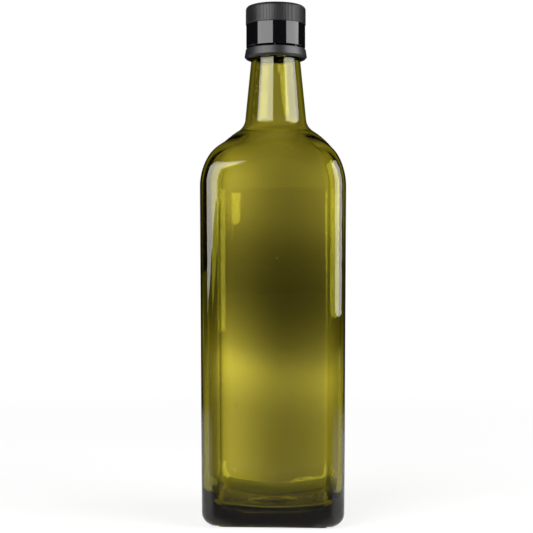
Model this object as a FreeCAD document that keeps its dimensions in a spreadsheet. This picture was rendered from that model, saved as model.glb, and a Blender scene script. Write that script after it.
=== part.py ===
import FreeCAD, Part
import math
import os
import re
import Sketcher

# One-litre square oil bottle of green glass with a ribbed black screw cap.
# Millimetres, +Z up. The origin is the middle of the foot, on the surface the
# bottle stands on, and the four flat sides face +X, +Y, -X and -Y.
# Three pieces: the glass, the cap screwed onto it, and the tamper band that
# hangs from the cap by small bridges under the locking bead of the glass.

Vector = FreeCAD.Vector
Rotation = FreeCAD.Rotation

# Driving dimensions: alias, value in millimetres or degrees, what it is.
DRIVING_SIZES = [
    ("shoulder_side", 78.5, "side of the square body where the shoulder starts"),
    ("foot_side", 76.5, "side of the square body at the foot, slightly drafted"),
    ("body_height", 182.7, "height of the straight sides"),
    ("corner_radius", 9.2, "radius of the upright corners"),
    ("inner_corner_radius", 11.0, "radius of the cavity's upright corners"),
    ("heel_radius", 7.0, "rounding between the sides and the foot"),
    ("bearing_width", 6.0, "width of the flat ring the bottle stands on"),
    ("push_up", 4.0, "rise of the domed underside"),
    ("base_thickness", 8.0, "glass between the foot and the cavity, at its edge"),
    ("floor_rise", 3.0, "rise of the cavity floor in its middle"),
    ("floor_radius", 9.0, "rounding between the cavity's sides and its floor"),
    ("body_wall", 3.0, "thickness of the body's glass"),
    ("shoulder_radius", 38.2, "radius of the dome over the body"),
    ("round_angle", 56.0, "angle up the dome where its section is a full circle"),
    ("neck_fillet", 8.8, "hollow radius between the dome and the neck"),
    ("neck_radius", 13.75, "outer radius at the top of the tapered neck"),
    ("neck_taper", 5.7, "half angle of the tapered neck"),
    ("neck_length", 100.4, "height of the rim above the straight sides"),
    ("neck_wall", 3.0, "thickness of the neck's glass"),
    ("rim_round", 0.9, "rounding of the rim's outer edge"),
    ("bead_height", 2.6, "height of the locking bead"),
    ("bead_clearance", 1.4, "gap between the band's lip and the bead above it"),
    ("bead_depth", 1.1, "how far the locking bead stands out from the finish"),
    ("thread_depth", 1.0, "how far the glass thread stands out from the finish"),
    ("thread_width", 1.6, "width of a thread ridge at its root"),
    ("thread_pitch", 4.0, "rise of a thread in one turn"),
    ("thread_turns", 1.5, "turns of the thread"),
    ("thread_offset", 8.0, "height of the glass thread's start above the cap's lower edge"),
    ("fit_clearance", 0.4, "gap between the glass and what screws onto it"),
    ("cap_wall", 1.25, "thickness of the cap's skirt and of the band"),
    ("cap_top_thickness", 2.0, "thickness of the cap's top"),
    ("cap_top_round", 2.2, "rounding of the cap's top edge"),
    ("cap_length", 23.1, "height of the cap from its lower edge to its top"),
    ("grip_length", 10.4, "height of the ribbed grip, from the cap's top down"),
    ("grip_step", 0.28, "how far the grip stands out from the smooth skirt"),
    ("grip_depth", 0.3, "depth of the grooves between the grip's ribs"),
    ("grip_ribs", 120, "number of ribs round the grip"),
    ("band_gap", 0.9, "groove between the cap and the tamper band"),
    ("band_height", 5.4, "height of the tamper band"),
    ("band_step", 0.3, "how far the band's top stands out from the skirt"),
    ("band_flare", 0.95, "how far the band's foot stands out from the skirt"),
    ("band_chamfer", 1.0, "slope under the flared foot of the band"),
    ("band_lip_height", 1.0, "height of the lip that hooks under the bead"),
    ("finish_margin", 1.0, "straight glass left below the band"),
    ("bridge_width", 0.9, "width of a bridge between band and cap"),
    ("bridge_depth", 0.7, "depth of a bridge, in the middle of the cap's wall"),
    ("bridge_count", 8, "number of bridges"),
]
ALIASES = {alias for alias, _, _ in DRIVING_SIZES}
ROOT_OVERLAP = 0.3  # how deep a thread ridge or a bridge is sunk into its piece
DOME_SPANS = 12  # spans between the sections that shape the dome
SQUARENESS = 8  # the higher, the nearer to its top the dome stays square
TOLERANCE = 0.01  # for picking edges by height
EDGE_SEARCH = 1.0  # how far above and below a wanted edge to look for it
STRAIGHT = 0.05  # a side arc of no more than this many degrees is drawn as a line
CIRCLE_BOW = 22.5  # half angle of an arc when eight equal arcs close into a circle

doc = FreeCAD.newDocument("square_oil_bottle")
sizes = doc.addObject("Spreadsheet::Sheet", "Sizes")
for row, (alias, value, meaning) in enumerate(DRIVING_SIZES, start=1):
    sizes.set(f"A{row}", meaning)
    sizes.set(f"B{row}", str(value))
    sizes.setAlias(f"B{row}", alias)
doc.recompute()


def bound(text):
    """An expression with the name of each driving dimension tied to the sheet."""
    def tie(word):
        return f"Sizes.{word[0]}" if word[0] in ALIASES else word[0]
    return re.sub("[a-z_]+", tie, text)


def number(text):
    """The value of an expression on driving dimensions."""
    return float(sizes.evalExpression(bound(text)))


# Expressions that several pieces share.
FINISH_RADIUS = "neck_radius"
THREAD_CREST = f"({FINISH_RADIUS} + thread_depth)"
BEAD_CREST = f"({FINISH_RADIUS} + bead_depth)"
SKIRT_INSIDE = f"({BEAD_CREST} + fit_clearance)"
SKIRT_OUTSIDE = f"({SKIRT_INSIDE} + cap_wall)"
GRIP_OUTSIDE = f"({SKIRT_OUTSIDE} + grip_step)"
CLEAR_OF_FINISH = f"({FINISH_RADIUS} + fit_clearance)"
RIM = "(body_height + neck_length)"
CAP_TOP = f"({RIM} + cap_top_thickness)"
GRIP_END = f"({CAP_TOP} - grip_length)"
CAP_END = f"({CAP_TOP} - cap_length)"
BAND_TOP = f"({CAP_END} - band_gap)"
BAND_END = f"({BAND_TOP} - band_height)"
LIP_TOP = f"({BAND_END} + band_lip_height)"
NECK_TOP = f"({BAND_END} - finish_margin)"
BEAD_START = f"({LIP_TOP} + bead_clearance)"
THREAD_START = f"({CAP_END} + thread_offset)"
DOME_MIDDLE = "(shoulder_side / 2 - shoulder_radius)"


def origin_feature(body, role):
    """One of the body's own origin planes or axes."""
    return next(item for item in body.Origin.OriginFeatures if item.Role == role)


def new_sketch(body, name, plane, height="0"):
    """An empty sketch on an origin plane, raised by height if that plane is level."""
    sketch = body.newObject("Sketcher::SketchObject", name)
    sketch.AttachmentSupport = [(origin_feature(body, plane), "")]
    sketch.MapMode = "FlatFace"
    if height != "0":
        sketch.setExpression("AttachmentOffset.Base.z", bound(height))
    return sketch


def pin(sketch, kind, geometry, point, text):
    """Hold one coordinate of a sketch point with an expression."""
    origin = (-1, 1)
    constraint = Sketcher.Constraint(kind, *origin, geometry, point, number(text))
    index = sketch.addConstraint(constraint)
    sketch.setExpression(f"Constraints[{index}]", bound(text))


def draw_outline(sketch, corners, arcs=None):
    """Closed outline through corners, each a pair of expressions (across, up).

    arcs maps the number of a side to the expressions of its centre. The corner
    after such a side keeps only its place across, and the arc sets its height.
    """
    arcs = arcs or {}
    spots = [Vector(number(across), number(up), 0) for across, up in corners]
    count = len(spots)
    for side, start in enumerate(spots):
        end = spots[(side + 1) % count]
        if side in arcs:
            middle = Vector(number(arcs[side][0]), number(arcs[side][1]), 0)
            circle = Part.Circle(middle, Vector(0, 0, 1), (start - middle).Length)
            first = math.atan2(start.y - middle.y, start.x - middle.x)
            last = math.atan2(end.y - middle.y, end.x - middle.x)
            sketch.addGeometry(Part.ArcOfCircle(circle, first, last), False)
        else:
            sketch.addGeometry(Part.LineSegment(start, end), False)
    for side in range(count):
        following = (side + 1) % count
        sketch.addConstraint(Sketcher.Constraint("Coincident", side, 2, following, 1))
    for side, (across, up) in enumerate(corners):
        if across == "0":
            sketch.addConstraint(Sketcher.Constraint("PointOnObject", side, 1, -2))
        else:
            pin(sketch, "DistanceX", side, 1, across)
        if side - 1 not in arcs:
            pin(sketch, "DistanceY", side, 1, up)
    for side, centre in arcs.items():
        pin(sketch, "DistanceX", side, 3, centre[0])
        pin(sketch, "DistanceY", side, 3, centre[1])


def revolve(body, name, corners, arcs=None):
    """A full turn about Z of an outline drawn in the XZ plane."""
    sketch = new_sketch(body, name + "_outline", "XZ_Plane")
    draw_outline(sketch, corners, arcs)
    turn = body.newObject("PartDesign::Revolution", name)
    turn.Profile = sketch
    turn.ReferenceAxis = (sketch, ["V_Axis"])
    turn.Angle = 360
    doc.recompute()
    return turn


def round_edges(body, name, base, alias, wanted):
    """Fillet the edges of base that pass the test called wanted."""
    names = [f"Edge{n}" for n, edge in enumerate(base.Shape.Edges, start=1) if wanted(edge)]
    fillet = body.newObject("PartDesign::Fillet", name)
    fillet.Base = (base, names)
    fillet.setExpression("Radius", bound(alias))
    doc.recompute()
    return fillet


def ring_between(lowest, highest):
    """A test for a level edge all round Z, in a range of heights."""
    def wanted(edge):
        box = edge.BoundBox
        level = edge.isClosed() and box.ZLength < TOLERANCE
        return level and lowest < box.ZMin and box.ZMax < highest
    return wanted


def add_thread(body, name, root, crest, start):
    """A ridge of trapezoid section that climbs round Z, from root out or in to crest."""
    sketch = new_sketch(body, name + "_section", "XZ_Plane")
    draw_outline(sketch, [
        (root, start),
        (crest, f"{start} + thread_width / 4"),
        (crest, f"{start} + thread_width * 3 / 4"),
        (root, f"{start} + thread_width"),
    ])
    ridge = body.newObject("PartDesign::AdditiveHelix", name)
    ridge.Profile = sketch
    ridge.ReferenceAxis = (sketch, ["V_Axis"])
    ridge.Mode = "pitch-turns-angle"
    ridge.setExpression("Pitch", bound("thread_pitch"))
    ridge.setExpression("Turns", bound("thread_turns"))
    doc.recompute()
    return ridge


def around(body, name, feature, count):
    """Repeat a feature evenly in a full turn about Z."""
    ring = body.newObject("PartDesign::PolarPattern", name)
    ring.Originals = [feature]
    ring.Axis = (origin_feature(body, "Z_Axis"), [""])
    ring.Angle = 360
    ring.setExpression("Occurrences", bound(count))
    body.Tip = ring
    doc.recompute()
    return ring


# --------------------------------------------------------------------- glass

def square_section(height, half, corner, bow):
    """Level outline of four side arcs and four corner arcs, tangent all round.

    half is the half width, corner the corner arcs' radius, and bow the half
    angle of each side arc: STRAIGHT or less leaves the sides straight, and
    CIRCLE_BOW with corner equal to half closes into a circle.
    """
    turn = math.radians(bow)
    if bow <= STRAIGHT:
        across = half
        along = corner_middle = half - corner
    else:
        lean = math.cos(turn) - math.sin(turn)
        side_radius = (half - corner * lean) / (1 - lean)
        across = half - side_radius * (1 - math.cos(turn))
        along = side_radius * math.sin(turn)
        corner_middle = (side_radius - corner) * math.sin(turn)
    diagonal = corner_middle + corner * math.cos(math.radians(45))
    edges = []
    for quarter in range(4):
        spin = Rotation(Vector(0, 0, 1), 90 * quarter)

        def place(x, y):
            return spin.multVec(Vector(x, y, height))
        side_start, side_end = place(across, -along), place(across, along)
        if bow <= STRAIGHT:
            edges.append(Part.makeLine(side_start, side_end))
        else:
            edges.append(Part.Arc(side_start, place(half, 0), side_end).toShape())
        corner_end = place(along, across)
        edges.append(Part.Arc(side_end, place(diagonal, diagonal), corner_end).toShape())
    return Part.Wire(edges)


def dome_sections(inset, corner):
    """Sections of the dome, from the square body up to where it is round.

    inset moves the whole surface inwards, for the inside of the glass.
    """
    radius = number("shoulder_radius") - inset
    round_angle = math.radians(number("round_angle"))
    sections = []
    for step in range(DOME_SPANS + 1):
        angle = round_angle * step / DOME_SPANS
        rise = radius * math.sin(angle)
        half = number(DOME_MIDDLE) + radius * math.cos(angle)
        share = math.sin(angle) / math.sin(round_angle)
        blend = (share ** 2 * (3 - 2 * share)) ** SQUARENESS
        blended_corner = corner + (half - corner) * blend ** 2
        height = number("body_height") + rise
        sections.append(square_section(height, half, blended_corner, CIRCLE_BOW * blend))
    return sections


def square_vessel(inset, corner, bottom, edge_radius):
    """The drafted square body with its rounded lower edge, and the dome above it."""
    draft = number("(shoulder_side - foot_side) / 2 / body_height")
    foot_half = number("foot_side / 2") + draft * bottom - inset
    top_half = number("shoulder_side / 2") - inset
    sides = Part.makeLoft([
        square_section(bottom, foot_half, corner, 0),
        square_section(number("body_height"), top_half, corner, 0),
    ], True, True)
    lower_edges = [edge for edge in sides.Edges if edge.BoundBox.ZMax < bottom + TOLERANCE]
    sides = sides.makeFillet(edge_radius, lower_edges)
    dome = Part.makeLoft(dome_sections(inset, corner), True, False)
    return sides.fuse(dome)


def add_shape(name, shape):
    """A document object for a shape that no sketch feature makes."""
    item = doc.addObject("Part::Feature", name)
    item.Shape = shape
    item.Placement = FreeCAD.Placement()
    return item


def add_ball(name, half_width, rise, top):
    """A ball whose cap is 2 half_width wide and rise high, with its top at top."""
    ball = doc.addObject("Part::Sphere", name)
    radius = f"(({half_width}) ^ 2 + {rise} ^ 2) / (2 * {rise})"
    ball.setExpression("Radius", bound(radius))
    ball.setExpression("Placement.Base.z", bound(f"({top}) - {radius}"))
    return ball


def neck_solid(name, dome_inset, neck_inset, neck_corners, fillet_radius):
    """The round top of the dome with the neck on it, each moved inwards by its inset.

    neck_corners are the corners of the neck's outline above its lower end.
    """
    body = doc.addObject("PartDesign::Body", name)
    dome_radius = f"(shoulder_radius - {dome_inset})"
    round_height = f"(body_height + {dome_radius} * sin(round_angle))"
    round_radius = f"({DOME_MIDDLE} + {dome_radius} * cos(round_angle))"
    revolve(body, name + "_dome", [
        ("0", round_height),
        (round_radius, round_height),
        (DOME_MIDDLE, f"body_height + {dome_radius}"),
        ("0", f"body_height + {dome_radius}"),
    ], {1: (DOME_MIDDLE, "body_height")})
    low_radius = f"neck_radius - {neck_inset} + ({NECK_TOP} - {round_height}) * tan(neck_taper)"
    neck = revolve(body, name + "_taper", [
        ("0", round_height),
        (low_radius, round_height),
        (f"neck_radius - {neck_inset}", NECK_TOP),
    ] + neck_corners)
    meeting = ring_between(number(round_height) + EDGE_SEARCH, number(NECK_TOP) - EDGE_SEARCH)
    fillet = round_edges(body, name + "_hollow", neck, fillet_radius, meeting)
    body.Tip = fillet
    return body, fillet


outer_vessel = add_shape("outer_vessel", square_vessel(
    0, number("corner_radius"), 0, number("heel_radius")))
inner_vessel = add_shape("inner_vessel", square_vessel(
    number("body_wall"), number("inner_corner_radius"),
    number("base_thickness"), number("floor_radius")))

BEAD_RAMP = "bead_height / 4"
neck_outside, neck_hollow = neck_solid("neck_outside", "0", "0", [
    (FINISH_RADIUS, BEAD_START),
    (BEAD_CREST, f"{BEAD_START} + {BEAD_RAMP}"),
    (BEAD_CREST, f"{BEAD_START} + bead_height - {BEAD_RAMP}"),
    (FINISH_RADIUS, f"{BEAD_START} + bead_height"),
    (FINISH_RADIUS, RIM),
    ("0", RIM),
], "neck_fillet")
rim = round_edges(neck_outside, "rim_edge", neck_hollow, "rim_round",
                  ring_between(number(RIM) - EDGE_SEARCH, math.inf))
neck_outside.Tip = rim
glass_thread = add_thread(neck_outside, "glass_thread", f"{FINISH_RADIUS} - {ROOT_OVERLAP}",
                          THREAD_CREST, THREAD_START)
neck_outside.Tip = glass_thread

neck_inside, _ = neck_solid("neck_inside", "body_wall", "neck_wall", [
    ("neck_radius - neck_wall", f"{RIM} + rim_round"),
    ("0", f"{RIM} + rim_round"),
], "(neck_fillet + neck_wall)")

underside = add_ball("underside", "foot_side / 2 - heel_radius - bearing_width",
                     "push_up", "push_up")
floor_dome = add_ball("floor_dome", "foot_side / 2 - body_wall - floor_radius",
                      "floor_rise", "base_thickness + floor_rise")

glass_blank = doc.addObject("Part::MultiFuse", "glass_blank")
glass_blank.Shapes = [outer_vessel, neck_outside]
cavity_blank = doc.addObject("Part::MultiFuse", "cavity_blank")
cavity_blank.Shapes = [inner_vessel, neck_inside]
cavity = doc.addObject("Part::Cut", "cavity")
cavity.Base = cavity_blank
cavity.Tool = floor_dome
hollows = doc.addObject("Part::MultiFuse", "hollows")
hollows.Shapes = [cavity, underside]
bottle = doc.addObject("Part::Cut", "bottle")
bottle.Base = glass_blank
bottle.Tool = hollows
bottle.Label = "bottle"
doc.recompute()

# ----------------------------------------------------------------------- cap

cap = doc.addObject("PartDesign::Body", "cap")
cap.Label = "cap"
cap_turn = revolve(cap, "cap_turn", [
    ("0", RIM),
    (SKIRT_INSIDE, RIM),
    (SKIRT_INSIDE, CAP_END),
    (SKIRT_OUTSIDE, CAP_END),
    (SKIRT_OUTSIDE, GRIP_END),
    (GRIP_OUTSIDE, GRIP_END),
    (GRIP_OUTSIDE, CAP_TOP),
    ("0", CAP_TOP),
])
round_edges(cap, "cap_round", cap_turn, "cap_top_round",
            ring_between(number(CAP_TOP) - EDGE_SEARCH, math.inf))

cap_thread = add_thread(cap, "cap_thread", f"{SKIRT_INSIDE} + {ROOT_OVERLAP}",
                        CLEAR_OF_FINISH, f"({THREAD_START} - thread_pitch / 2)")
cap.Tip = cap_thread

half_notch = f"({GRIP_OUTSIDE} * tan(90 / grip_ribs))"
half_valley = f"({half_notch} / 3)"
notch_outline = new_sketch(cap, "notch_outline", "XY_Plane", GRIP_END)
draw_outline(notch_outline, [
    (f"{GRIP_OUTSIDE} - grip_depth", half_valley),
    (f"{GRIP_OUTSIDE} - grip_depth", f"0 - {half_valley}"),
    (f"{GRIP_OUTSIDE} + grip_depth", f"0 - {half_notch}"),
    (f"{GRIP_OUTSIDE} + grip_depth", half_notch),
])
notch = cap.newObject("PartDesign::Pocket", "notch")
notch.Profile = notch_outline
notch.Reversed = True
notch.setExpression("Length", bound("grip_length"))
doc.recompute()
around(cap, "ribs", notch, "grip_ribs")

# --------------------------------------------------------------- tamper band

tamper_band = doc.addObject("PartDesign::Body", "tamper_band")
tamper_band.Label = "tamper_band"
BAND_FOOT = f"({SKIRT_OUTSIDE} + band_flare)"
BRIDGE_INSIDE = f"({SKIRT_INSIDE} + (cap_wall - bridge_depth) / 2)"
band_turn = revolve(tamper_band, "band_turn", [
    (CLEAR_OF_FINISH, BAND_END),
    (f"{BAND_FOOT} - band_chamfer", BAND_END),
    (BAND_FOOT, f"{BAND_END} + band_chamfer"),
    (f"{SKIRT_OUTSIDE} + band_step", BAND_TOP),
    (SKIRT_INSIDE, BAND_TOP),
    (SKIRT_INSIDE, LIP_TOP),
    (CLEAR_OF_FINISH, LIP_TOP),
])
bridge_outline = new_sketch(tamper_band, "bridge_outline", "XY_Plane",
                            f"{BAND_TOP} - {ROOT_OVERLAP}")
draw_outline(bridge_outline, [
    (BRIDGE_INSIDE, "bridge_width / 2"),
    (BRIDGE_INSIDE, "0 - bridge_width / 2"),
    (f"{BRIDGE_INSIDE} + bridge_depth", "0 - bridge_width / 2"),
    (f"{BRIDGE_INSIDE} + bridge_depth", "bridge_width / 2"),
])
bridge = tamper_band.newObject("PartDesign::Pad", "bridge")
bridge.Profile = bridge_outline
bridge.setExpression("Length", bound(f"band_gap + {ROOT_OVERLAP}"))
doc.recompute()
around(tamper_band, "bridges", bridge, "bridge_count")

# -------------------------------------------------------------- check, write

doc.recompute()
for item in doc.Objects:
    if "Invalid" in item.State or "Error" in item.State:
        raise RuntimeError(f"{item.Name} failed: {item.State}")
os.makedirs("parts", exist_ok=True)
for piece in (bottle, cap, tamper_band):
    if piece.Shape.isNull() or not piece.Shape.isValid():
        raise RuntimeError(f"{piece.Label} has no valid shape")
    piece.Shape.exportStep(f"parts/{piece.Label}.step")
    print(f"{piece.Label}: {piece.Shape.Volume / 1000:.2f} cc, {len(piece.Shape.Solids)} solid")
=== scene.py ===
import math

import bmesh
import bpy
from bpy.props import FloatProperty, FloatVectorProperty, IntProperty, PointerProperty
from mathutils import Matrix, Vector


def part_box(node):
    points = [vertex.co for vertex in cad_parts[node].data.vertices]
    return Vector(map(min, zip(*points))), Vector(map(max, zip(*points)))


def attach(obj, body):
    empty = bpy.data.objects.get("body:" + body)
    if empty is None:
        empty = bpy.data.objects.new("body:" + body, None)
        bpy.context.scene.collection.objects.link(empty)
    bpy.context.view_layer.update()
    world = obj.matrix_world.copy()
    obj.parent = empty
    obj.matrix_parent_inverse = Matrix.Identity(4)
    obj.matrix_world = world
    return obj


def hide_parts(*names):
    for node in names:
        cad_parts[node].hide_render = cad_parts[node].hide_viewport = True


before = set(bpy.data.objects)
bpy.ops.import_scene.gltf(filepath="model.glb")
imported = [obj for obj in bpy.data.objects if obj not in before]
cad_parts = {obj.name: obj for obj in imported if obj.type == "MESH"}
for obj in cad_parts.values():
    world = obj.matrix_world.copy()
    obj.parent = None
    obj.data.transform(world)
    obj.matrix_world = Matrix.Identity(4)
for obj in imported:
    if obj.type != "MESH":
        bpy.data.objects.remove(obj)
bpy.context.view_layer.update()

bl_info = {
    "name": "Square Oil Bottle",
    "version": (1, 0, 0),
    "blender": (4, 5, 0),
    "location": "View3D > Sidebar > Oil Bottle",
    "description": "A square oil bottle of olive green glass with a ribbed black screw cap",
    "category": "Add Mesh",
}

MM = 0.001
CORNER_STEPS = 14  # faces round each upright corner of the glass
SIDE_STEPS = 40  # faces along each flat side of the glass
QUARTER_FACES = CORNER_STEPS + SIDE_STEPS
ROUND_ANGLE = math.radians(56)  # how far up the dome it becomes round
SQUARENESS = 8  # the higher, the nearer to its top the dome stays square
CORNER_KEEPING = 0.4  # keeps the dome's corners as round as the body's while it narrows
TINY = 0.02 * MM
BEARING_WIDTH = 6 * MM  # flat ring the bottle stands on
TOOTH_MARGIN = 0.28 * MM  # how far a ridge's top is inside its foot
FLOOR_RISE = 3 * MM  # rise of the cavity floor in its middle
BOWL_ROUNDING = 0.05  # how far each ring of the bowl moves to a circle
FINISH_MARGIN = 1 * MM  # straight glass left below the band
BEAD_OFFSET = 2.4 * MM  # from the band's foot up to the locking bead
BEAD_HEIGHT = 2.6 * MM
BEAD_DEPTH = 1.1 * MM
RIM_ROUND = 0.9 * MM
SEEDS = ((2.5 * MM, 144 * MM), (7.8 * MM, 109 * MM), (-19 * MM, 66 * MM))  # across, up
SEED_RADIUS = 0.45 * MM
BAND_GAP = 0.9 * MM
BAND_LIP = 1.1 * MM  # how far the band's lip reaches in under the bead
BAND_COLUMNS = 160
BRIDGES = 8

FLOOR_RADIUS = 12
SOFTBOX_DISTANCE = 1.1
SOFTBOX_TOP = 1.25
CARD_WIDTH, CARD_HEIGHT = 240 * MM, 360 * MM
CARD_PLACE = (0, 60 * MM, 182 * MM)
# The card glows with painted light, though it is no lamp: its brightest part and its warm tint.
PAINTED_LIGHT_GLOW = 1.4  # brightness of the card's brightest part
PAINTED_LIGHT_TINT = (1, 0.91, 0.8)
# The card's painted shade and light as (millimetres, brightness): from left to right and from the foot
# up behind the body, and from left to right behind the neck. It makes the shades seen through the
# glass: the glowing card paints the dark middle band and the lighter parts.
PAINTED_SHADE_ACROSS = ((-100, 0.25), (-80, 0.25), (-60, 0.15), (-47, 0.1), (-42, 0.35), (-37, 0.9), (-30, 0.9),
               (-20, 0.66), (-10, 0.42), (0, 0.31), (11, 0.33), (22, 0.43), (33, 0.6), (43, 0.7),
               (50, 0.4), (65, 0.4), (85, 0.3))
PAINTED_SHADE_UP = ((0, 0.5), (20, 0.5), (46, 0.45), (60, 0.68), (72, 0.88), (84, 0.46), (100, 0.25),
           (116, 0.15), (130, 0.15), (150, 0.24), (166, 0.46), (185, 0.58), (205, 0.65), (222, 0.7))
PAINTED_SHADE_NECK = ((-100, 0.1), (-60, 0.2), (-42, 0.1), (-26, 0.06), (-14, 0.16), (-2, 0.28), (8, 0.2),
             (20, 0.1), (32, 0.1), (45, 0.2), (60, 0.25), (100, 0.1))

GLASS_LOW, GLASS_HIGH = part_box("bottle")
CAP_LOW, CAP_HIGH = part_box("cap")
BAND_LOW, BAND_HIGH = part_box("tamper_band")


class GlassSettings(bpy.types.PropertyGroup):
    """Sizes and colours of the bottle's glass"""
    shoulder_side: FloatProperty(
        name="Shoulder side", description="Side of the square body at the shoulder",
        default=GLASS_HIGH.x - GLASS_LOW.x, unit="LENGTH")
    foot_side: FloatProperty(
        name="Foot side", description="Side of the square body at the foot",
        default=76.5 * MM, unit="LENGTH")
    body_height: FloatProperty(
        name="Body height", description="Height of the straight sides",
        default=182.7 * MM, unit="LENGTH")
    corner_radius: FloatProperty(
        name="Corner radius", description="Radius of the upright corners",
        default=9.2 * MM, unit="LENGTH")
    inner_corner: FloatProperty(
        name="Inner corner", description="How far the cavity's soft upright corners reach",
        default=8 * MM, unit="LENGTH")
    heel_radius: FloatProperty(
        name="Heel radius", description="Rounding between the sides and the foot",
        default=7 * MM, unit="LENGTH")
    bowl_width: FloatProperty(
        name="Bowl width", description="Width of the rounding round the cavity's floor",
        default=21 * MM, unit="LENGTH")
    bowl_depth: FloatProperty(
        name="Bowl depth", description="Height of the rounding round the cavity's floor",
        default=15 * MM, unit="LENGTH")
    wall: FloatProperty(
        name="Body wall", description="Thickness of the body's glass",
        default=3 * MM, unit="LENGTH")
    base_thickness: FloatProperty(
        name="Base thickness", description="Glass between the foot and the cavity",
        default=6 * MM, unit="LENGTH")
    push_up: FloatProperty(
        name="Push-up", description="Rise of the domed underside",
        default=4 * MM, unit="LENGTH")
    shoulder_radius: FloatProperty(
        name="Shoulder radius", description="Radius of the dome over the body",
        default=38.2 * MM, unit="LENGTH")
    neck_fillet: FloatProperty(
        name="Neck fillet", description="Hollow radius between the dome and the neck",
        default=8.8 * MM, unit="LENGTH")
    neck_radius: FloatProperty(
        name="Neck radius", description="Outer radius at the top of the tapered neck",
        default=13.75 * MM, unit="LENGTH")
    neck_wall: FloatProperty(
        name="Neck wall", description="Thickness of the neck's glass",
        default=3 * MM, unit="LENGTH")
    neck_taper: FloatProperty(
        name="Neck taper", description="Half angle of the tapered neck",
        default=math.radians(5.7), subtype="ANGLE")
    tooth_height: FloatProperty(
        name="Tooth height", description="Height of the ridges the bottle stands on",
        default=0.65 * MM, unit="LENGTH")
    absorption_colour: FloatVectorProperty(
        name="Glass colour", description="Colour left in light that crosses thick glass",
        default=(0.84, 0.82, 0.0), subtype="COLOR", min=0, max=1)
    absorption_density: FloatProperty(
        name="Glass density", description="How fast light is absorbed, per metre",
        default=420)


class CapSettings(bpy.types.PropertyGroup):
    """Sizes and colours of the screw cap and its tamper band"""
    ribs: IntProperty(name="Ribs", description="Ribs round the grip", default=120)
    rib_depth: FloatProperty(
        name="Rib depth", description="Depth of the grooves between ribs",
        default=0.3 * MM, unit="LENGTH")
    wall: FloatProperty(
        name="Cap wall", description="Thickness of the skirt",
        default=1.25 * MM, unit="LENGTH")
    grip_step: FloatProperty(
        name="Grip step", description="How far the grip stands out from the skirt",
        default=0.28 * MM, unit="LENGTH")
    grip_length: FloatProperty(
        name="Grip length", description="Height of the ribbed grip",
        default=10.4 * MM, unit="LENGTH")
    top_round: FloatProperty(
        name="Top rounding", description="Rounding of the cap's top edge",
        default=2.2 * MM, unit="LENGTH")
    colour: FloatVectorProperty(
        name="Cap colour", description="Colour of the moulded cap",
        default=(0.002, 0.002, 0.0025), subtype="COLOR", min=0, max=1)
    grip_colour: FloatVectorProperty(
        name="Grip colour", description="Colour of the satin grip",
        default=(0.007, 0.007, 0.008), subtype="COLOR", min=0, max=1)
    band_colour: FloatVectorProperty(
        name="Band colour", description="Colour of the tamper band",
        default=(0.007, 0.007, 0.008), subtype="COLOR", min=0, max=1)


class StageSettings(bpy.types.PropertyGroup):
    """The floor, the lamps and the camera"""
    camera_distance: FloatProperty(
        name="Camera distance", description="From the bottle's axis to the camera",
        default=705 * MM, unit="LENGTH")
    camera_height: FloatProperty(
        name="Camera height", description="Height of the level camera",
        default=139.7 * MM, unit="LENGTH")
    camera_turn: FloatProperty(
        name="Camera turn", description="How far the camera is to the right of the front",
        default=math.radians(3.0), subtype="ANGLE")
    camera_aim: FloatProperty(
        name="Camera aim", description="How far left of the axis the camera looks",
        default=math.radians(0.42), subtype="ANGLE")
    lens: FloatProperty(name="Lens", description="Focal length in millimetres", default=85)
    softbox_strength: FloatProperty(
        name="Softbox brightness", description="Radiance of the two softboxes", default=6)


# ------------------------------------------------------------ modelling tools

def start_piece(name):
    """Name the object just added, and open it for editing with everything selected."""
    piece = bpy.context.object
    piece.name = name
    piece.data.name = name
    bpy.ops.object.mode_set(mode="EDIT")
    bpy.ops.mesh.select_mode(type="FACE")
    bpy.ops.mesh.select_all(action="SELECT")
    return piece


def pick(kind, wanted):
    """Select the vertices, edges or faces of the open piece that pass a test."""
    bpy.ops.mesh.select_mode(type=kind)
    bpy.ops.mesh.select_all(action="DESELECT")
    mesh = bmesh.from_edit_mesh(bpy.context.object.data)
    elements = {"VERT": mesh.verts, "EDGE": mesh.edges, "FACE": mesh.faces}[kind]
    for element in elements:
        if wanted(element):
            element.select_set(True)
    mesh.select_flush_mode()
    bmesh.update_edit_mesh(bpy.context.object.data)


def picked():
    """Positions of the selected vertices of the open piece."""
    mesh = bmesh.from_edit_mesh(bpy.context.object.data)
    return [vertex.co for vertex in mesh.verts if vertex.select]


def next_ring(height, reach, rounding=0.0):
    """Extrude the selected outline to a height, and scale it to reach that far out.

    rounding moves the outline that share of the way to a circle.
    """
    level = picked()[0].z
    bpy.ops.mesh.extrude_region_move(
        TRANSFORM_OT_translate={"value": (0, 0, height - level)})
    if rounding > 0:
        bpy.ops.transform.tosphere(value=rounding)
    size = reach / max(spot.x for spot in picked())
    bpy.ops.transform.resize(value=(size, size, 1), center_override=(0, 0, height))


def close_ring():
    """Draw the selected outline together in its middle."""
    bpy.ops.mesh.merge(type="CENTER")


def finish_piece(piece, smooth_angle):
    """Close the edit, turn every face outwards, smooth the rounded ones and apply the place."""
    bpy.ops.mesh.select_mode(type="VERT")
    bpy.ops.mesh.select_all(action="SELECT")
    bpy.ops.mesh.normals_make_consistent(inside=False)
    bpy.ops.mesh.select_all(action="DESELECT")
    bpy.ops.object.mode_set(mode="OBJECT")
    bpy.ops.object.select_all(action="DESELECT")
    piece.select_set(True)
    bpy.context.view_layer.objects.active = piece
    bpy.ops.object.shade_smooth_by_angle(angle=smooth_angle)
    bpy.ops.object.transform_apply(location=True, rotation=True, scale=True)


# ------------------------------------------------------------------ the glass

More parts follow.
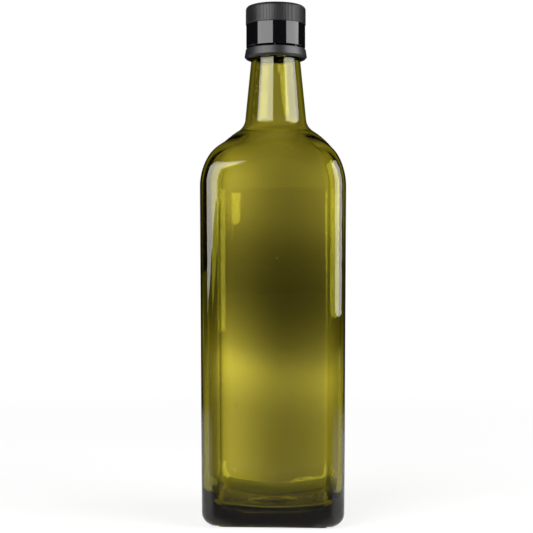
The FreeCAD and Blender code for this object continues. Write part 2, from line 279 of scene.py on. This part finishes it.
def neck_outline(settings, dome_inset, neck_inset):
    """Rings of the dome, the hollow and the neck, as (height, reach, roundness)."""
    dome_radius = settings.shoulder_radius - dome_inset
    dome_middle = settings.shoulder_side / 2 - settings.shoulder_radius
    slope = math.tan(settings.neck_taper)
    neck_top = BAND_LOW.z - FINISH_MARGIN
    thin_end = settings.neck_radius - neck_inset
    hollow = settings.neck_fillet + neck_inset
    across = thin_end + hollow * math.hypot(1, slope) + slope * neck_top - dome_middle
    half_b = across * slope + settings.body_height
    square = 1 + slope ** 2
    rest = across ** 2 + settings.body_height ** 2 - (dome_radius + hollow) ** 2
    hollow_height = (half_b + math.sqrt(half_b ** 2 - square * rest)) / square
    hollow_middle = dome_middle + across - slope * hollow_height
    meeting = math.atan2(hollow_height - settings.body_height, hollow_middle - dome_middle)
    rings = []
    dome_steps = 30
    for step in range(1, dome_steps + 1):
        angle = meeting * step / dome_steps
        rise = dome_radius * math.sin(angle)
        reach = dome_middle + dome_radius * math.cos(angle)
        share = min(1, math.sin(angle) / math.sin(ROUND_ANGLE))
        blend = (share ** 2 * (3 - 2 * share)) ** SQUARENESS
        narrowing = 1 - reach / (dome_middle + dome_radius)
        roundness = blend + (1 - blend) * CORNER_KEEPING * narrowing
        rings.append((settings.body_height + rise, reach, roundness))
    hollow_steps = 12
    for step in range(1, hollow_steps + 1):
        angle = math.pi + meeting + (settings.neck_taper - meeting) * step / hollow_steps
        height = hollow_height + hollow * math.sin(angle)
        rings.append((height, hollow_middle + hollow * math.cos(angle), 1.0))
    neck_start = rings[-1][0]
    neck_steps = 6
    for step in range(1, neck_steps + 1):
        height = neck_start + (neck_top - neck_start) * step / neck_steps
        rings.append((height, thin_end + slope * (neck_top - height), 1.0))
    return rings


def add_vessel(name, settings, inset, neck_inset, corner, bottom):
    """A closed shell in the bottle's shape, moved inwards by inset, up to the neck's end."""
    draft = (settings.shoulder_side - settings.foot_side) / 2 / settings.body_height
    foot_reach = settings.foot_side / 2 + draft * bottom - inset
    bpy.ops.mesh.primitive_plane_add(size=2 * foot_reach)
    piece = start_piece(name)
    bpy.ops.transform.translate(value=(0, 0, bottom))
    bpy.ops.mesh.bevel(offset=corner, segments=CORNER_STEPS, profile=0.5,
                       affect="VERTICES")
    pick("EDGE", lambda edge: edge.calc_length() > corner)
    bpy.ops.mesh.subdivide(number_cuts=SIDE_STEPS - 1)
    pick("FACE", lambda face: True)
    body_steps = 36
    top_reach = settings.shoulder_side / 2 - inset
    start = bottom + 10 * MM
    for step in range(body_steps + 1):
        height = start + (settings.body_height - start) * step / body_steps
        share = (height - bottom) / (settings.body_height - bottom)
        next_ring(height, foot_reach + (top_reach - foot_reach) * share)
    rounded = 0.0
    for height, reach, roundness in neck_outline(settings, inset, neck_inset):
        step_rounding = (roundness - rounded) / (1 - rounded) if rounded < 1 else 0
        next_ring(height, reach, step_rounding)
        rounded = roundness
    return piece


def dome_rings(reach, rise, base, steps=10):
    """Rings of a shallow dome, from its edge inwards, as (height, reach)."""
    radius = (reach ** 2 + rise ** 2) / (2 * rise)
    for step in range(1, steps):
        ring_reach = reach * (1 - step / steps)
        yield base + rise - radius + math.sqrt(radius ** 2 - ring_reach ** 2), ring_reach


def pick_bottom(bottom):
    """Select the flat underside of the open vessel, and say how far out it reaches."""
    pick("FACE", lambda face: len(face.verts) == 4 * QUARTER_FACES
         and face.calc_center_median().z < bottom + TINY)
    return max(spot.x for spot in picked())


def shape_foot(foot, heel, margin, rise):
    """Round the heel, leave a flat ring to stand on, and raise the middle to a shallow dome."""
    pick("EDGE", lambda edge: all(v.co.z < foot + TINY for v in edge.verts))
    bpy.ops.mesh.bevel(offset=heel, segments=10, affect="EDGES")
    reach = pick_bottom(foot) - margin
    next_ring(foot, reach)
    for height, ring_reach in dome_rings(reach, rise, foot):
        next_ring(height, ring_reach)
    close_ring()


def shape_bowl(top, width, depth, rise):
    """Draw the cavity's underside down and in to a soft bowl with a raised middle."""
    reach = pick_bottom(top)
    steps = 14
    for step in range(1, steps + 1):
        angle = math.pi / 2 * step / steps
        inwards = width * (1 - math.cos(angle)) ** 1.5
        next_ring(top - depth * math.sin(angle), reach - inwards, BOWL_ROUNDING)
    for height, ring_reach in dome_rings(reach - width, rise, top - depth):
        next_ring(height, ring_reach, BOWL_ROUNDING)
    close_ring()


def add_teeth(foot, outer_reach, inner_reach):
    """Turn each face of the foot's ring into a ridge that stands on the floor."""
    def on_ring(face):
        centre = face.calc_center_median()
        reach = max(abs(centre.x), abs(centre.y))
        narrowest = min(edge.calc_length() for edge in face.edges)
        return (abs(centre.z - foot) < 0.1 * MM and inner_reach < reach < outer_reach
                and narrowest > 1 * MM)
    pick("FACE", on_ring)
    bpy.ops.mesh.inset(thickness=TOOTH_MARGIN, use_individual=True)
    bpy.ops.transform.translate(value=(0, 0, -foot))


class OILBOTTLE_OT_glass(bpy.types.Operator):
    """Make the hollow square bottle of green glass"""
    bl_idname = "oil_bottle.glass"
    bl_label = "Glass"

    def execute(self, context):
        settings = context.scene.oil_bottle_glass
        foot = settings.tooth_height
        bpy.ops.object.select_all(action="DESELECT")
        outside = add_vessel("bottle_glass", settings, 0, 0, settings.corner_radius, foot)
        flat_reach = settings.foot_side / 2 - settings.heel_radius
        shape_foot(foot, settings.heel_radius, BEARING_WIDTH, settings.push_up)
        add_teeth(foot, flat_reach + 1 * MM, flat_reach - BEARING_WIDTH)
        self.add_finish()
        self.open_top()
        bpy.ops.object.mode_set(mode="OBJECT")
        bpy.ops.object.select_all(action="DESELECT")
        bowl_top = settings.base_thickness + settings.bowl_depth
        add_vessel("bottle_cavity", settings, settings.wall, settings.neck_wall,
                   settings.inner_corner, bowl_top)
        shape_bowl(bowl_top, settings.bowl_width, settings.bowl_depth, FLOOR_RISE)
        pick("FACE", self.at_top)
        next_ring(GLASS_HIGH.z, settings.neck_radius - settings.neck_wall)
        self.open_top()
        bpy.ops.mesh.select_all(action="SELECT")
        bpy.ops.mesh.flip_normals()
        bpy.ops.object.mode_set(mode="OBJECT")
        outside.select_set(True)
        context.view_layer.objects.active = outside
        bpy.ops.object.join()
        bpy.ops.object.mode_set(mode="EDIT")
        pick("EDGE", lambda edge: edge.is_boundary)
        bpy.ops.mesh.bridge_edge_loops()
        finish_piece(outside, math.radians(35))
        for spot in SEEDS:
            self.add_seed(outside, settings, *spot)
        outside.data.materials.append(glass_material(settings))
        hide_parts("bottle")
        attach(outside, "root")
        return {"FINISHED"}

    def add_seed(self, glass, settings, across, height):
        """A tiny bubble caught in the front wall."""
        bpy.ops.object.select_all(action="DESELECT")
        depth = (settings.foot_side - settings.wall) / 2
        bpy.ops.mesh.primitive_ico_sphere_add(
            subdivisions=3, radius=SEED_RADIUS, location=(across, -depth, height))
        bubble = start_piece("seed")
        bpy.ops.transform.resize(value=(0.8, 0.8, 1.3))
        bpy.ops.mesh.flip_normals()
        bpy.ops.object.mode_set(mode="OBJECT")
        bpy.ops.object.transform_apply(location=True, rotation=True, scale=True)
        bpy.ops.object.shade_smooth()
        bubble.select_set(True)
        glass.select_set(True)
        bpy.context.view_layer.objects.active = glass
        bpy.ops.object.join()

    def at_top(self, face):
        """Whether a face is the flat end of the open vessel's neck."""
        return len(face.verts) == 4 * QUARTER_FACES and face.normal.z > 0.5

    def add_finish(self):
        """Raise the locking bead and the finish above the tapered neck."""
        pick("FACE", self.at_top)
        radius = max(spot.x for spot in picked())
        bead = BAND_LOW.z + BEAD_OFFSET
        ramp = BEAD_HEIGHT / 4
        for height, reach in ((bead, radius), (bead + ramp, radius + BEAD_DEPTH),
                              (bead + BEAD_HEIGHT - ramp, radius + BEAD_DEPTH),
                              (bead + BEAD_HEIGHT, radius),
                              (GLASS_HIGH.z - RIM_ROUND, radius),
                              (GLASS_HIGH.z, radius - RIM_ROUND)):
            next_ring(height, reach)

    def open_top(self):
        """Take away the flat end of the neck."""
        pick("FACE", self.at_top)
        bpy.ops.mesh.delete(type="ONLY_FACE")


def mix_colours(owner, share, first, second, blend="MIX"):
    """Blend two colours by a share; each of the three is a socket or a plain value."""
    tree = owner.node_tree
    mix = tree.nodes.new("ShaderNodeMix")
    mix.data_type = "RGBA"
    mix.blend_type = blend
    for slot, source in ((0, share), (6, first), (7, second)):
        if isinstance(source, bpy.types.NodeSocket):
            tree.links.new(source, mix.inputs[slot])
        else:
            mix.inputs[slot].default_value = source
    return mix.outputs[2]


def glass_material(settings):
    """Clear glass that absorbs evenly, with a slight waviness and faint streaks."""
    material = bpy.data.materials.new("olive_glass")
    material.use_nodes = True
    nodes = material.node_tree.nodes
    links = material.node_tree.links
    shader = nodes["Principled BSDF"]
    shader.inputs["Roughness"].default_value = 0.0
    shader.inputs["IOR"].default_value = 1.5
    shader.inputs["Transmission Weight"].default_value = 1
    absorb = nodes.new("ShaderNodeVolumeAbsorption")
    absorb.inputs["Color"].default_value = (*settings.absorption_colour, 1)
    absorb.inputs["Density"].default_value = settings.absorption_density
    links.new(absorb.outputs["Volume"], nodes["Material Output"].inputs["Volume"])
    place = nodes.new("ShaderNodeTexCoord")
    waves = nodes.new("ShaderNodeTexNoise")
    waves.inputs["Scale"].default_value = 38
    waves.inputs["Detail"].default_value = 1
    links.new(place.outputs["Object"], waves.inputs["Vector"])
    bump = nodes.new("ShaderNodeBump")
    bump.inputs["Strength"].default_value = 1
    bump.inputs["Distance"].default_value = 0.06 * MM
    links.new(waves.outputs["Fac"], bump.inputs["Height"])
    links.new(bump.outputs["Normal"], shader.inputs["Normal"])
    stretch = nodes.new("ShaderNodeMapping")
    stretch.inputs["Scale"].default_value = (1, 1, 0.15)
    links.new(place.outputs["Object"], stretch.inputs["Vector"])
    streaks = nodes.new("ShaderNodeTexNoise")
    streaks.inputs["Scale"].default_value = 60
    streaks.inputs["Detail"].default_value = 2
    links.new(stretch.outputs["Vector"], streaks.inputs["Vector"])
    tint = mix_colours(material, streaks.outputs["Fac"], (0.97, 0.95, 0.93, 1), (1, 1, 1, 1))
    links.new(tint, shader.inputs["Base Color"])
    return material


# --------------------------------------------------------- the cap and the band

class OILBOTTLE_OT_cap(bpy.types.Operator):
    """Make the ribbed screw cap"""
    bl_idname = "oil_bottle.cap"
    bl_label = "Screw cap"

    def execute(self, context):
        settings = context.scene.oil_bottle_cap
        grip_radius = CAP_HIGH.x
        skirt_radius = grip_radius - settings.grip_step
        bore_radius = skirt_radius - settings.wall
        grip_end = CAP_HIGH.z - settings.grip_length
        bpy.ops.object.select_all(action="DESELECT")
        bpy.ops.mesh.primitive_circle_add(
            vertices=2 * settings.ribs, radius=bore_radius, fill_type="NGON")
        cap = start_piece("screw_cap")
        bpy.ops.transform.translate(value=(0, 0, GLASS_HIGH.z))
        for height, reach in ((CAP_LOW.z + 0.3 * MM, bore_radius), (CAP_LOW.z, bore_radius + 0.3 * MM),
                              (CAP_LOW.z, skirt_radius - 0.25 * MM),
                              (CAP_LOW.z + 0.25 * MM, skirt_radius),
                              (CAP_LOW.z + 0.5 * MM, skirt_radius),
                              (grip_end - 0.35 * MM, skirt_radius),
                              (grip_end - 0.1 * MM, skirt_radius), (grip_end, skirt_radius + 0.05 * MM),
                              (grip_end + 0.2 * MM, grip_radius)):
            next_ring(height, reach)
        round_steps = 7
        for step in range(round_steps + 1):
            angle = math.pi / 2 * step / round_steps
            next_ring(CAP_HIGH.z - settings.top_round * (1 - math.sin(angle)),
                      grip_radius - settings.top_round * (1 - math.cos(angle)))
        next_ring(CAP_HIGH.z, grip_radius * 0.8)
        next_ring(CAP_HIGH.z, grip_radius * 0.4)
        bpy.ops.mesh.poke()
        bpy.ops.mesh.select_all(action="SELECT")
        bpy.ops.mesh.normals_make_consistent(inside=False)
        self.cut_grooves(settings, grip_end, grip_radius)
        finish_piece(cap, math.radians(28))
        cap.data.materials.append(cap_material(settings, grip_end))
        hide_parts("cap")
        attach(cap, "root")
        return {"FINISHED"}

    def cut_grooves(self, settings, grip_end, grip_radius):
        """Sink every second column of the grip's faces."""
        step = math.pi / settings.ribs

        def in_groove(face):
            centre = face.calc_center_median()
            column = round(math.atan2(centre.y, centre.x) / step - 0.5)
            outside = centre.xy.length > grip_radius - settings.top_round
            return outside and centre.z > grip_end + 0.1 * MM and column % 2 == 0
        pick("FACE", in_groove)
        bpy.ops.mesh.inset(thickness=0.07 * MM, depth=-settings.rib_depth)


class OILBOTTLE_OT_band(bpy.types.Operator):
    """Make the tamper band with its bridges"""
    bl_idname = "oil_bottle.band"
    bl_label = "Tamper band"

    def execute(self, context):
        settings = context.scene.oil_bottle_cap
        foot_radius = BAND_HIGH.x
        skirt_radius = CAP_HIGH.x - settings.grip_step
        bore_radius = skirt_radius - settings.wall
        band_top = BAND_HIGH.z - BAND_GAP
        lip_radius = bore_radius - BAND_LIP
        bpy.ops.object.select_all(action="DESELECT")
        bpy.ops.mesh.primitive_circle_add(vertices=BAND_COLUMNS, radius=bore_radius)
        band = start_piece("tamper_ring")
        bpy.ops.mesh.select_mode(type="EDGE")
        bpy.ops.mesh.select_all(action="SELECT")
        bpy.ops.transform.translate(value=(0, 0, band_top))
        profile = (
            (BAND_LOW.z + 1.2 * MM, bore_radius), (BAND_LOW.z + 1 * MM, lip_radius),
            (BAND_LOW.z + 0.1 * MM, lip_radius), (BAND_LOW.z, lip_radius + 0.1 * MM),
            (BAND_LOW.z, foot_radius - 1 * MM), (BAND_LOW.z + 0.85 * MM, foot_radius - 0.12 * MM),
            (BAND_LOW.z + 1.1 * MM, foot_radius), (BAND_LOW.z + 1.5 * MM, foot_radius - 0.06 * MM),
            (band_top - 0.3 * MM, skirt_radius + 0.3 * MM), (band_top, skirt_radius + 0.05 * MM),
            (band_top, bore_radius + 1 * MM), (band_top, bore_radius + 0.3 * MM),
            (band_top, bore_radius),
        )
        for height, reach in profile:
            next_ring(height, reach)
        bpy.ops.mesh.select_all(action="SELECT")
        bpy.ops.mesh.remove_doubles(threshold=TINY / 4)
        bpy.ops.mesh.normals_make_consistent(inside=False)
        self.raise_bridges(band_top, bore_radius)
        finish_piece(band, math.radians(28))
        band.data.materials.append(band_material(settings))
        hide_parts("tamper_band")
        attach(band, "root")
        return {"FINISHED"}

    def raise_bridges(self, band_top, bore_radius):
        """Extrude small bridges up to the cap."""
        step = 2 * math.pi / BAND_COLUMNS
        spacing = BAND_COLUMNS // BRIDGES

        def under_bridge(face):
            centre = face.calc_center_median()
            column = round(math.atan2(centre.y, centre.x) / step - 0.5)
            mid_wall = bore_radius + 0.3 * MM < centre.xy.length < bore_radius + 1 * MM
            return mid_wall and abs(centre.z - band_top) < TINY and column % spacing == 0
        pick("FACE", under_bridge)
        bpy.ops.mesh.extrude_region_move(
            TRANSFORM_OT_translate={"value": (0, 0, CAP_LOW.z - band_top)})


def moulded_plastic_group():
    """Soft patches and a fine grain, as moulded plastic has."""
    name = "moulded_plastic"
    if name in bpy.data.node_groups:
        return bpy.data.node_groups[name]
    group = bpy.data.node_groups.new(name, "ShaderNodeTree")
    for socket in ("Patch Scale", "Grain Scale"):
        group.interface.new_socket(socket, in_out="INPUT", socket_type="NodeSocketFloat")
    for socket in ("Patches", "Grain"):
        group.interface.new_socket(socket, in_out="OUTPUT", socket_type="NodeSocketFloat")
    entry = group.nodes.new("NodeGroupInput")
    leave = group.nodes.new("NodeGroupOutput")
    place = group.nodes.new("ShaderNodeTexCoord")
    for socket, scale in (("Patches", "Patch Scale"), ("Grain", "Grain Scale")):
        noise = group.nodes.new("ShaderNodeTexNoise")
        noise.inputs["Detail"].default_value = 2
        group.links.new(place.outputs["Object"], noise.inputs["Vector"])
        group.links.new(entry.outputs[scale], noise.inputs["Scale"])
        group.links.new(noise.outputs["Fac"], leave.inputs[socket])
    return group


def start_plastic(name, grain_depth):
    """A plastic material whose grain is in place; returns it with its patches' output."""
    material = bpy.data.materials.new(name)
    material.use_nodes = True
    nodes = material.node_tree.nodes
    links = material.node_tree.links
    moulding = nodes.new("ShaderNodeGroup")
    moulding.node_tree = moulded_plastic_group()
    moulding.inputs["Patch Scale"].default_value = 90
    moulding.inputs["Grain Scale"].default_value = 1800
    bump = nodes.new("ShaderNodeBump")
    bump.inputs["Strength"].default_value = 1
    bump.inputs["Distance"].default_value = grain_depth
    links.new(moulding.outputs["Grain"], bump.inputs["Height"])
    links.new(bump.outputs["Normal"], nodes["Principled BSDF"].inputs["Normal"])
    return material, moulding.outputs["Patches"]


def varied_number(material, patches, middle, spread):
    """A number that the patches move up and down round its middle."""
    number = material.node_tree.nodes.new("ShaderNodeMapRange")
    number.inputs["From Min"].default_value = 0.3
    number.inputs["From Max"].default_value = 0.7
    number.inputs["To Min"].default_value = middle * (1 - spread)
    number.inputs["To Max"].default_value = middle * (1 + spread)
    material.node_tree.links.new(patches, number.inputs["Value"])
    return number.outputs["Result"]


def varied_colour(material, patches, colour, spread):
    """A colour that the patches make a little darker and paler."""
    darker = (*[part * (1 - spread) for part in colour], 1)
    paler = (*[part * (1 + spread) for part in colour], 1)
    return mix_colours(material, patches, darker, paler)


def cap_material(settings, grip_end):
    """Glossy black on the skirt, satin and a little paler on the ribbed grip."""
    material, patches = start_plastic("cap_black", 0.004 * MM)
    nodes = material.node_tree.nodes
    links = material.node_tree.links
    shader = nodes["Principled BSDF"]
    place = nodes.new("ShaderNodeTexCoord")
    split = nodes.new("ShaderNodeSeparateXYZ")
    links.new(place.outputs["Object"], split.inputs[0])
    grip = nodes.new("ShaderNodeMapRange")
    grip.inputs["From Min"].default_value = grip_end - 0.2 * MM
    grip.inputs["From Max"].default_value = grip_end + 0.1 * MM
    links.new(split.outputs["Z"], grip.inputs["Value"])
    colour = mix_colours(material, grip.outputs["Result"],
                         varied_colour(material, patches, settings.colour, 0.15),
                         varied_colour(material, patches, settings.grip_colour, 0.15))
    links.new(colour, shader.inputs["Base Color"])
    roughness = nodes.new("ShaderNodeMix")
    links.new(grip.outputs["Result"], roughness.inputs[0])
    links.new(varied_number(material, patches, 0.06, 0.3), roughness.inputs[2])
    links.new(varied_number(material, patches, 0.42, 0.12), roughness.inputs[3])
    links.new(roughness.outputs[0], shader.inputs["Roughness"])
    return material


def band_material(settings):
    """Satin black all over."""
    material, patches = start_plastic("band_black", 0.012 * MM)
    shader = material.node_tree.nodes["Principled BSDF"]
    links = material.node_tree.links
    links.new(varied_colour(material, patches, settings.band_colour, 0.15),
              shader.inputs["Base Color"])
    links.new(varied_number(material, patches, 0.42, 0.12), shader.inputs["Roughness"])
    return material


# ------------------------------------------------------------------ the stage

class OILBOTTLE_OT_stage(bpy.types.Operator):
    """Make the floor, the backdrop card of painted shade and light, the softboxes and the camera"""
    bl_idname = "oil_bottle.stage"
    bl_label = "Stage"

    def execute(self, context):
        settings = context.scene.oil_bottle_stage
        self.add_floor()
        self.add_painted_shade_card()
        self.add_softbox("softbox_left", -43.5, 64, 14, 8, 0.12, settings)
        self.add_softbox("softbox_right", 70, 58, 10, 0, 0.045, settings)
        self.light_world(context)
        self.add_camera(context, settings)
        return {"FINISHED"}

    def add_floor(self):
        bpy.ops.object.select_all(action="DESELECT")
        bpy.ops.mesh.primitive_circle_add(vertices=96, radius=FLOOR_RADIUS, fill_type="NGON")
        floor = bpy.context.object
        floor.name = "floor"
        floor.data.materials.append(floor_material())

    def add_painted_shade_card(self):
        """A card of painted shade and light close behind the bottle, seen only through its glass."""
        bpy.ops.object.select_all(action="DESELECT")
        bpy.ops.mesh.primitive_plane_add(size=1)
        card = start_piece("card")
        bpy.ops.transform.resize(value=(CARD_WIDTH, CARD_HEIGHT, 1), center_override=(0, 0, 0))
        bpy.ops.transform.rotate(value=math.radians(90), orient_axis="X", center_override=(0, 0, 0))
        bpy.ops.transform.translate(value=CARD_PLACE)
        finish_piece(card, math.radians(30))
        card.data.materials.append(painted_shade_card_material())
        card.visible_camera = False
        card.visible_diffuse = False
        card.visible_glossy = False
        card.visible_shadow = False

    def add_softbox(self, name, azimuth, width, tilt, roll, bottom, settings):
        """A tall lamp that leans over by tilt and sideways by roll.

        azimuth and width are degrees seen from the bottle, and bottom is its lower edge's height.
        """
        direction = math.radians(azimuth) + settings.camera_turn
        centre = Vector((SOFTBOX_DISTANCE * math.sin(direction),
                         -SOFTBOX_DISTANCE * math.cos(direction), (bottom + SOFTBOX_TOP) / 2))
        lamp = bpy.data.lights.new(name, "AREA")
        lamp.shape = "RECTANGLE"
        lamp.size = 2 * SOFTBOX_DISTANCE * math.tan(math.radians(width / 2))
        lamp.size_y = SOFTBOX_TOP - bottom
        lamp.energy = settings.softbox_strength * math.pi * lamp.size * lamp.size_y
        holder = bpy.data.objects.new(name, lamp)
        holder.location = centre
        turn = (Matrix.Rotation(direction, 3, "Z")
                @ Matrix.Rotation(math.pi / 2 - math.radians(tilt), 3, "X")
                @ Matrix.Rotation(math.radians(roll), 3, "Z"))
        holder.rotation_euler = turn.to_euler()
        holder.visible_camera = False
        bpy.context.scene.collection.objects.link(holder)

    def light_world(self, context):
        """White to the camera, dim to diffuse rays, and black or nearly so to all others."""
        world = bpy.data.worlds.new("studio")
        world.use_nodes = True
        context.scene.world = world
        nodes = world.node_tree.nodes
        links = world.node_tree.links
        nodes["Background"].inputs["Strength"].default_value = 1
        rays = nodes.new("ShaderNodeLightPath")
        colour = (0.006, 0.006, 0.006, 1)
        for kind, level in (("Is Transmission Ray", 0), ("Is Diffuse Ray", 0.2), ("Is Camera Ray", 1)):
            colour = mix_colours(world, rays.outputs[kind], colour, (level, level, level, 1))
        links.new(colour, nodes["Background"].inputs["Color"])

    def add_camera(self, context, settings):
        lens = bpy.data.cameras.new("camera")
        lens.lens = settings.lens
        lens.sensor_width = 36
        lens.clip_end = 100
        camera = bpy.data.objects.new("camera", lens)
        turn = settings.camera_turn
        camera.location = (settings.camera_distance * math.sin(turn),
                           -settings.camera_distance * math.cos(turn), settings.camera_height)
        camera.rotation_euler = (math.pi / 2, 0, turn + settings.camera_aim)
        context.scene.collection.objects.link(camera)
        context.scene.camera = camera
        context.scene.view_settings.view_transform = "Standard"


def fade(material, value, start, end, first, last):
    """A number that goes from first to last while a value goes from start to end."""
    reach = material.node_tree.nodes.new("ShaderNodeMapRange")
    reach.inputs["From Min"].default_value = start
    reach.inputs["From Max"].default_value = end
    reach.inputs["To Min"].default_value = first
    reach.inputs["To Max"].default_value = last
    material.node_tree.links.new(value, reach.inputs["Value"])
    return reach.outputs["Result"]


def floor_material():
    """A white floor with a soft shadow, dimmer to mirrored rays and to rays through glass: to mirrored
    rays its colour is a painted reflection, dim in front of and behind the bottle, bright beside it and
    dim far off, and to rays through glass a painted dim grey.
    """
    material = bpy.data.materials.new("pale_floor")
    material.use_nodes = True
    nodes = material.node_tree.nodes
    links = material.node_tree.links
    nodes.remove(nodes["Principled BSDF"])
    rays = nodes.new("ShaderNodeLightPath")
    lit = nodes.new("ShaderNodeBsdfDiffuse")
    white = nodes.new("ShaderNodeEmission")
    white.inputs["Color"].default_value = (1, 1, 1, 1)
    place = nodes.new("ShaderNodeTexCoord")
    split = nodes.new("ShaderNodeSeparateXYZ")
    links.new(place.outputs["Object"], split.inputs[0])
    distance = nodes.new("ShaderNodeVectorMath")
    distance.operation = "LENGTH"
    links.new(place.outputs["Object"], distance.inputs[0])
    aside = nodes.new("ShaderNodeMath")
    aside.operation = "ABSOLUTE"
    links.new(split.outputs["X"], aside.inputs[0])
    bearing = nodes.new("ShaderNodeMath")
    bearing.operation = "DIVIDE"
    links.new(aside.outputs[0], bearing.inputs[0])
    links.new(distance.outputs["Value"], bearing.inputs[1])
    # Painted reflection: how bright the floor looks in mirrors, set by its distance and bearing from
    # the bottle.
    reflection_painted_in_front = fade(material, distance.outputs["Value"], 0.08, 0.3, 0.2, 0.03)
    reflection_painted_beside = fade(material, distance.outputs["Value"], 0.35, 0.6, 0.85, 0.06)
    sideways = fade(material, bearing.outputs[0], 0.5, 0.75, 0, 1)
    painted_reflection = nodes.new("ShaderNodeMix")
    links.new(sideways, painted_reflection.inputs[0])
    links.new(reflection_painted_in_front, painted_reflection.inputs[2])
    links.new(reflection_painted_beside, painted_reflection.inputs[3])
    shade = mix_colours(material, rays.outputs["Is Glossy Ray"], (0.85, 0.85, 0.85, 1),
                        painted_reflection.outputs[0])
    # Painted shade: the floor seen through the glass is a flat dim grey.
    painted_shade_through_glass = mix_colours(material, rays.outputs["Is Transmission Ray"], shade, (0.3, 0.3, 0.32, 1))
    links.new(painted_shade_through_glass, lit.inputs["Color"])
    whiter = fade(material, distance.outputs["Value"], 0.05, 0.7, 0.72, 1)
    amount = nodes.new("ShaderNodeMath")
    amount.operation = "MULTIPLY"
    links.new(rays.outputs["Is Camera Ray"], amount.inputs[0])
    links.new(whiter, amount.inputs[1])
    seen = nodes.new("ShaderNodeMixShader")
    links.new(amount.outputs[0], seen.inputs[0])
    links.new(lit.outputs[0], seen.inputs[1])
    links.new(white.outputs[0], seen.inputs[2])
    links.new(seen.outputs[0], nodes["Material Output"].inputs["Surface"])
    return material


def shading(material, position, stops):
    """A smooth grey that follows (millimetres, brightness) stops along one direction."""
    nodes = material.node_tree.nodes
    links = material.node_tree.links
    start, end = stops[0][0], stops[-1][0]
    along = nodes.new("ShaderNodeMapRange")
    along.inputs["From Min"].default_value = start * MM
    along.inputs["From Max"].default_value = end * MM
    links.new(position, along.inputs["Value"])
    ramp = nodes.new("ShaderNodeValToRGB")
    ramp.color_ramp.interpolation = "B_SPLINE"
    points = ramp.color_ramp.elements
    while len(points) < len(stops):
        points.new(0.5)
    for point, (place, brightness) in zip(points, stops):
        point.position = (place - start) / (end - start)
        point.color = (brightness, brightness, brightness, 1)
    links.new(along.outputs["Result"], ramp.inputs["Fac"])
    return ramp.outputs["Color"]


def painted_shade_card_material():
    """A card that glows by its own painted shade and light, one shading for the body and one for the
    neck.
    """
    material = bpy.data.materials.new("card")
    material.use_nodes = True
    nodes = material.node_tree.nodes
    links = material.node_tree.links
    nodes.remove(nodes["Principled BSDF"])
    place = nodes.new("ShaderNodeTexCoord")
    split = nodes.new("ShaderNodeSeparateXYZ")
    links.new(place.outputs["Object"], split.inputs[0])
    left = nodes.new("ShaderNodeMath")
    left.operation = "MINIMUM"
    left.inputs[1].default_value = 0
    links.new(split.outputs["X"], left.inputs[0])
    raised = nodes.new("ShaderNodeMath")
    raised.operation = "MULTIPLY_ADD"
    raised.inputs[1].default_value = 0.3
    links.new(left.outputs[0], raised.inputs[0])
    links.new(split.outputs["Z"], raised.inputs[2])
    # Painted shade and light: the shading across times the shading up, darkest in the middle of the
    # body and lighter towards its sides, above and below.
    body = mix_colours(material, 1, shading(material, split.outputs["X"], PAINTED_SHADE_ACROSS),
                       shading(material, raised.outputs[0], PAINTED_SHADE_UP), "MULTIPLY")
    neck_height = nodes.new("ShaderNodeMapRange")
    neck_height.inputs["From Min"].default_value = 195 * MM
    neck_height.inputs["From Max"].default_value = 235 * MM
    links.new(split.outputs["Z"], neck_height.inputs["Value"])
    # Painted shade and light behind the neck takes over between 195 and 235 mm up.
    both = mix_colours(material, neck_height.outputs["Result"], body,
                       shading(material, split.outputs["X"], PAINTED_SHADE_NECK))
    warm = mix_colours(material, 1, both, (*PAINTED_LIGHT_TINT, 1), "MULTIPLY")
    glow = nodes.new("ShaderNodeEmission")
    glow.inputs["Strength"].default_value = PAINTED_LIGHT_GLOW
    links.new(warm, glow.inputs["Color"])
    links.new(glow.outputs[0], nodes["Material Output"].inputs["Surface"])
    return material


# ---------------------------------------------------------------- the add-on

class OILBOTTLE_PT_panel(bpy.types.Panel):
    """Lists the steps that make the bottle"""
    bl_label = "Oil Bottle"
    bl_idname = "OILBOTTLE_PT_panel"
    bl_space_type = "VIEW_3D"
    bl_region_type = "UI"
    bl_category = "Oil Bottle"

    def draw(self, context):
        for step in STEPS:
            self.layout.operator(step.bl_idname)
        for name, settings in SETTINGS.items():
            box = self.layout.box()
            box.label(text=settings.__doc__)
            for field in settings.__annotations__:
                box.prop(getattr(context.scene, name), field)


STEPS = (OILBOTTLE_OT_glass, OILBOTTLE_OT_cap, OILBOTTLE_OT_band, OILBOTTLE_OT_stage)
SETTINGS = {
    "oil_bottle_glass": GlassSettings,
    "oil_bottle_cap": CapSettings,
    "oil_bottle_stage": StageSettings,
}
CLASSES = (*SETTINGS.values(), *STEPS, OILBOTTLE_PT_panel)


def register():
    for item in CLASSES:
        bpy.utils.register_class(item)
    for name, settings in SETTINGS.items():
        setattr(bpy.types.Scene, name, PointerProperty(type=settings))


def unregister():
    for name in SETTINGS:
        delattr(bpy.types.Scene, name)
    for item in reversed(CLASSES):
        bpy.utils.unregister_class(item)


def main():
    register()
    bpy.ops.oil_bottle.glass()
    bpy.ops.oil_bottle.cap()
    bpy.ops.oil_bottle.band()
    bpy.ops.oil_bottle.stage()


if __name__ == "__main__":
    main()
